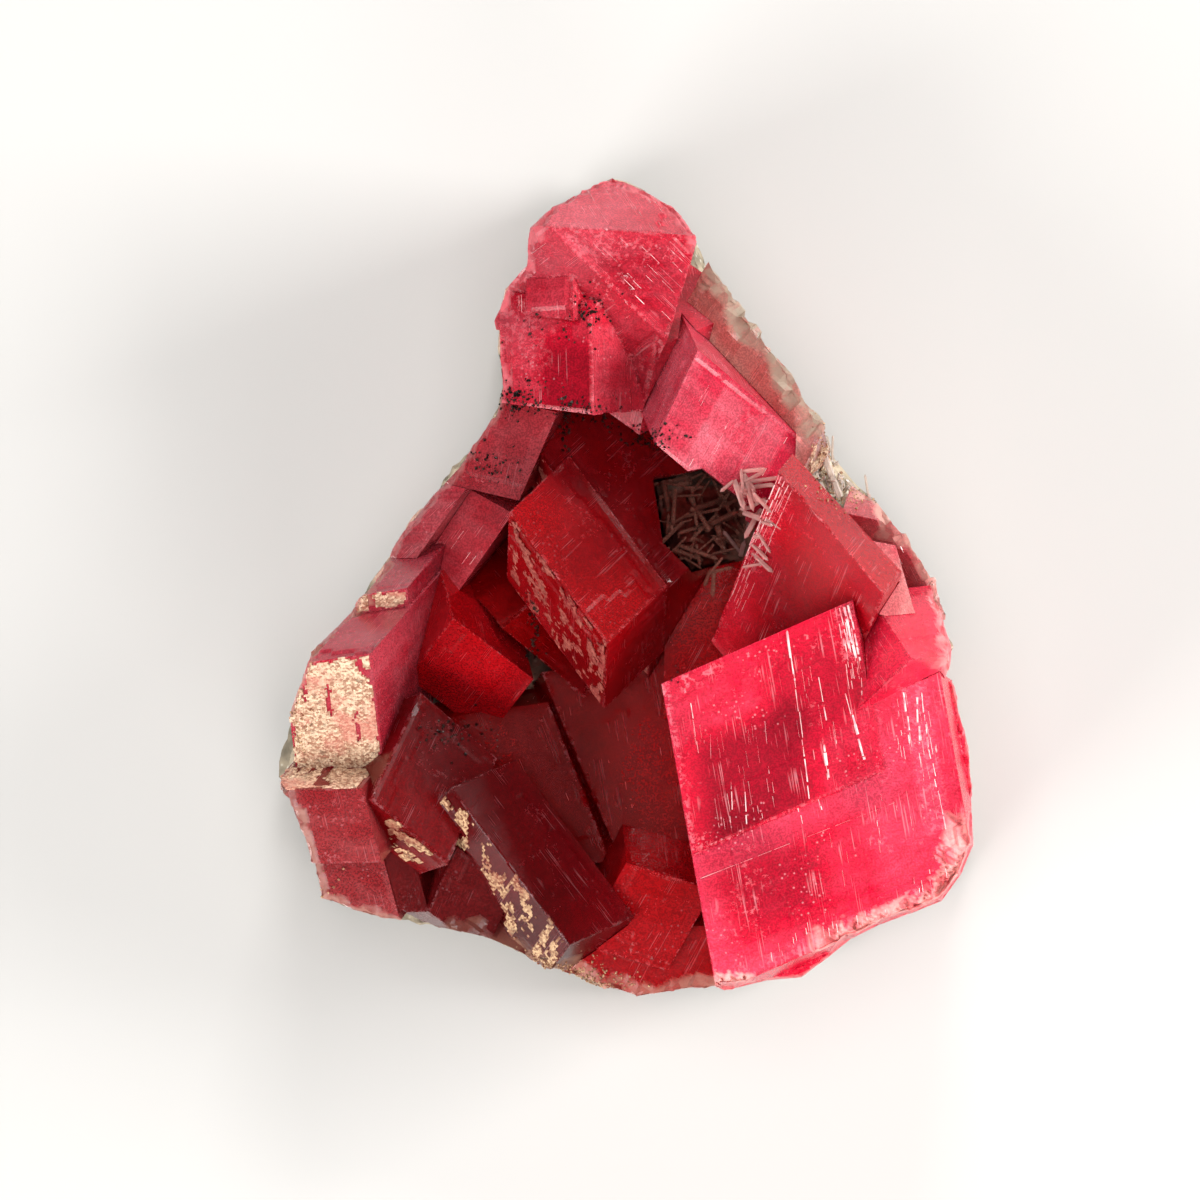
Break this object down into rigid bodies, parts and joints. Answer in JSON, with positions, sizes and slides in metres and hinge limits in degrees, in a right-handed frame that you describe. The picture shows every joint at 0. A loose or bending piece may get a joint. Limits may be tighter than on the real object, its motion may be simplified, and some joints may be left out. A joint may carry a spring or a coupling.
{
  "type": "rhodochrosite specimen",
  "caption": "Cherry-red rhombohedral crystals grown together on a flat-backed piece of matrix, with quartz needles in a pocket; lies on its back.",
  "frame": {"origin": "middle of the outline's box on the flat back that the specimen rests on", "axes": "+Z away from the back, through the crystals; +Y along the specimen towards its narrow crown; +X across it"},
  "size_m": [0.0704, 0.0828, 0.0395],
  "materials": {
    "rhodochrosite": "translucent, vitreous",
    "quartz": "clear, vitreous",
    "matrix_rock": "rough, broken"
  },
  "bodies": {
    "root": {"big_rhomb": "rhodochrosite", "right_rhomb": "rhodochrosite", "peak_rhomb": "rhodochrosite", "right_edge_rhombs": "rhodochrosite", "upper_right_rhomb": "rhodochrosite", "slope_rhomb_upper": "rhodochrosite", "center_rhomb": "rhodochrosite", "crown_rhombs": "rhodochrosite", "rim_rhomb": "rhodochrosite", "coated_rhomb": "rhodochrosite", "slope_rhomb_slab": "rhodochrosite", "slope_rhomb_lower": "rhodochrosite", "left_rim_rhombs": "rhodochrosite", "dark_rhombs": "rhodochrosite", "low_left_rhomb": "rhodochrosite", "low_center_rhomb": "rhodochrosite", "recess_rhomb": "rhodochrosite", "vug_rhomb": "rhodochrosite", "bottom_rhombs": "rhodochrosite", "floor_rhombs": "rhodochrosite", "quartz_needle_1": "quartz", "quartz_needle_2": "quartz", "quartz_needle_3": "quartz", "quartz_needle_4": "quartz", "quartz_needle_5": "quartz", "quartz_needle_6": "quartz", "quartz_needle_7": "quartz", "quartz_needle_8": "quartz", "quartz_needle_9": "quartz", "quartz_needle_10": "quartz", "quartz_needle_11": "quartz", "quartz_needle_12": "quartz", "matrix": "matrix_rock"}
  },
  "joints": []
}
